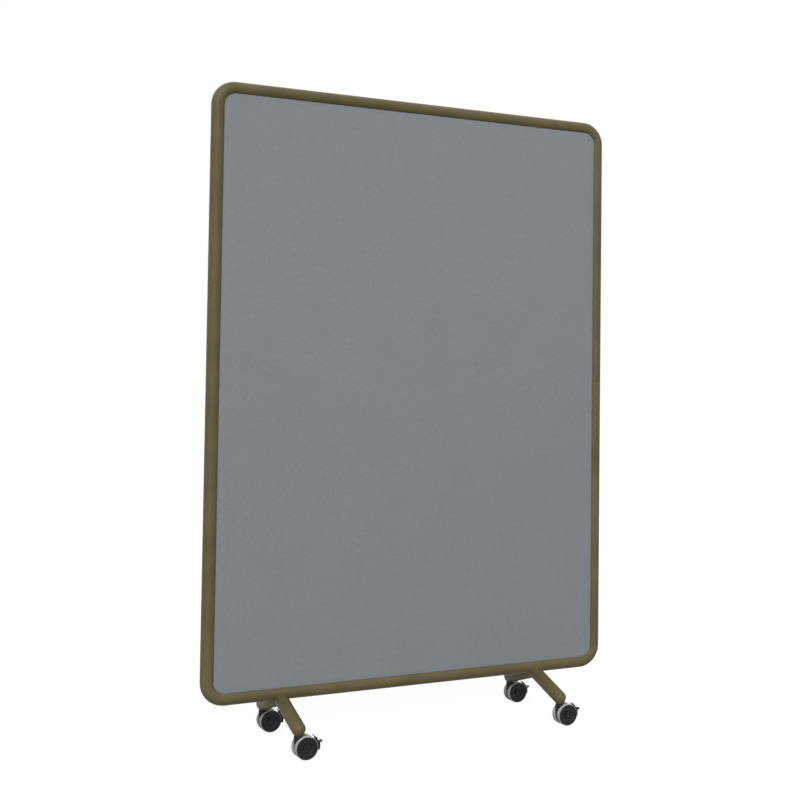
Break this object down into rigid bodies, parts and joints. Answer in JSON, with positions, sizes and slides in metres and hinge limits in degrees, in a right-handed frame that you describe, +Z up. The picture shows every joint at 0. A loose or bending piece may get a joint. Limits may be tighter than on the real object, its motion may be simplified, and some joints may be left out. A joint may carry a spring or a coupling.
{
  "type": "rolling room partition",
  "caption": "Upright grey felt-faced panel in a rounded bent-tube frame, standing on splayed tube legs with braked twin-wheel swivel casters.",
  "frame": {"origin": "on the floor, under the centre of the partition's bounding box", "axes": "+X along the width, to the right as seen from the front; +Y from the front face towards the rear face; +Z up"},
  "size_m": [1.25, 0.3528, 1.824],
  "materials": {
    "powder_coat": "matte olive-bronze powder coat",
    "core_board": "raw board, hidden",
    "felt": "needle-punched felt, matte grey",
    "seal_rubber": "matte black rubber",
    "plain_steel": "zinc-plated steel",
    "black_nylon": "moulded black nylon, satin",
    "grey_tread": "soft grey tread"
  },
  "bodies": {
    "root": {"frame_tube": "powder_coat", "panel_core": "core_board", "front_felt": "felt", "rear_felt": "felt", "edge_seal": "seal_rubber", "panel_dowels": "plain_steel", "front_left_leg": "powder_coat", "front_right_leg": "powder_coat", "rear_left_leg": "powder_coat", "rear_right_leg": "powder_coat", "front_left_knuckle": "powder_coat", "front_right_knuckle": "powder_coat", "rear_left_knuckle": "powder_coat", "rear_right_knuckle": "powder_coat", "front_left_stem": "plain_steel", "front_right_stem": "plain_steel", "rear_left_stem": "plain_steel", "rear_right_stem": "plain_steel"},
    "front_left_caster": {"front_left_caster_body": "black_nylon", "front_left_axle": "plain_steel", "front_left_brake_pin": "plain_steel"},
    "front_left_outer_wheel": {"front_left_outer_hub": "black_nylon", "front_left_outer_tyre": "grey_tread", "front_left_outer_cap": "black_nylon"},
    "front_left_inner_wheel": {"front_left_inner_hub": "black_nylon", "front_left_inner_tyre": "grey_tread", "front_left_inner_cap": "black_nylon"},
    "front_left_pedal": {"front_left_brake_pedal": "black_nylon"},
    "front_right_caster": {"front_right_caster_body": "black_nylon", "front_right_axle": "plain_steel", "front_right_brake_pin": "plain_steel"},
    "front_right_outer_wheel": {"front_right_outer_hub": "black_nylon", "front_right_outer_tyre": "grey_tread", "front_right_outer_cap": "black_nylon"},
    "front_right_inner_wheel": {"front_right_inner_hub": "black_nylon", "front_right_inner_tyre": "grey_tread", "front_right_inner_cap": "black_nylon"},
    "front_right_pedal": {"front_right_brake_pedal": "black_nylon"},
    "rear_left_caster": {"rear_left_caster_body": "black_nylon", "rear_left_axle": "plain_steel", "rear_left_brake_pin": "plain_steel"},
    "rear_left_outer_wheel": {"rear_left_outer_hub": "black_nylon", "rear_left_outer_tyre": "grey_tread", "rear_left_outer_cap": "black_nylon"},
    "rear_left_inner_wheel": {"rear_left_inner_hub": "black_nylon", "rear_left_inner_tyre": "grey_tread", "rear_left_inner_cap": "black_nylon"},
    "rear_left_pedal": {"rear_left_brake_pedal": "black_nylon"},
    "rear_right_caster": {"rear_right_caster_body": "black_nylon", "rear_right_axle": "plain_steel", "rear_right_brake_pin": "plain_steel"},
    "rear_right_outer_wheel": {"rear_right_outer_hub": "black_nylon", "rear_right_outer_tyre": "grey_tread", "rear_right_outer_cap": "black_nylon"},
    "rear_right_inner_wheel": {"rear_right_inner_hub": "black_nylon", "rear_right_inner_tyre": "grey_tread", "rear_right_inner_cap": "black_nylon"},
    "rear_right_pedal": {"rear_right_brake_pedal": "black_nylon"}
  },
  "joints": [
    {"name": "front_left_swivel", "type": "hinge", "parent": "root", "child": "front_left_caster", "pos_m": [-0.4, -0.155, 0.062], "axis": [0, 0, 1], "continuous": true},
    {"name": "front_left_outer_spin", "type": "hinge", "parent": "front_left_caster", "child": "front_left_outer_wheel", "pos_m": [-0.382, -0.1689, 0.031], "axis": [0, 1, 0], "continuous": true},
    {"name": "front_left_inner_spin", "type": "hinge", "parent": "front_left_caster", "child": "front_left_inner_wheel", "pos_m": [-0.382, -0.1411, 0.031], "axis": [0, 1, 0], "continuous": true},
    {"name": "front_left_brake", "type": "hinge", "parent": "front_left_caster", "child": "front_left_pedal", "pos_m": [-0.36856, -0.155, 0.04444], "axis": [0, 1, 0], "range_deg": [0, 14]},
    {"name": "front_right_swivel", "type": "hinge", "parent": "root", "child": "front_right_caster", "pos_m": [0.4, -0.155, 0.062], "axis": [0, 0, 1], "continuous": true},
    {"name": "front_right_outer_spin", "type": "hinge", "parent": "front_right_caster", "child": "front_right_outer_wheel", "pos_m": [0.418, -0.1689, 0.031], "axis": [0, 1, 0], "continuous": true},
    {"name": "front_right_inner_spin", "type": "hinge", "parent": "front_right_caster", "child": "front_right_inner_wheel", "pos_m": [0.418, -0.1411, 0.031], "axis": [0, 1, 0], "continuous": true},
    {"name": "front_right_brake", "type": "hinge", "parent": "front_right_caster", "child": "front_right_pedal", "pos_m": [0.43144, -0.155, 0.04444], "axis": [0, 1, 0], "range_deg": [0, 14]},
    {"name": "rear_left_swivel", "type": "hinge", "parent": "root", "child": "rear_left_caster", "pos_m": [-0.4, 0.155, 0.062], "axis": [0, 0, 1], "continuous": true},
    {"name": "rear_left_outer_spin", "type": "hinge", "parent": "rear_left_caster", "child": "rear_left_outer_wheel", "pos_m": [-0.382, 0.1689, 0.031], "axis": [0, 1, 0], "continuous": true},
    {"name": "rear_left_inner_spin", "type": "hinge", "parent": "rear_left_caster", "child": "rear_left_inner_wheel", "pos_m": [-0.382, 0.1411, 0.031], "axis": [0, 1, 0], "continuous": true},
    {"name": "rear_left_brake", "type": "hinge", "parent": "rear_left_caster", "child": "rear_left_pedal", "pos_m": [-0.36856, 0.155, 0.04444], "axis": [0, 1, 0], "range_deg": [0, 14]},
    {"name": "rear_right_swivel", "type": "hinge", "parent": "root", "child": "rear_right_caster", "pos_m": [0.4, 0.155, 0.062], "axis": [0, 0, 1], "continuous": true},
    {"name": "rear_right_outer_spin", "type": "hinge", "parent": "rear_right_caster", "child": "rear_right_outer_wheel", "pos_m": [0.418, 0.1689, 0.031], "axis": [0, 1, 0], "continuous": true},
    {"name": "rear_right_inner_spin", "type": "hinge", "parent": "rear_right_caster", "child": "rear_right_inner_wheel", "pos_m": [0.418, 0.1411, 0.031], "axis": [0, 1, 0], "continuous": true},
    {"name": "rear_right_brake", "type": "hinge", "parent": "rear_right_caster", "child": "rear_right_pedal", "pos_m": [0.43144, 0.155, 0.04444], "axis": [0, 1, 0], "range_deg": [0, 14]}
  ]
}
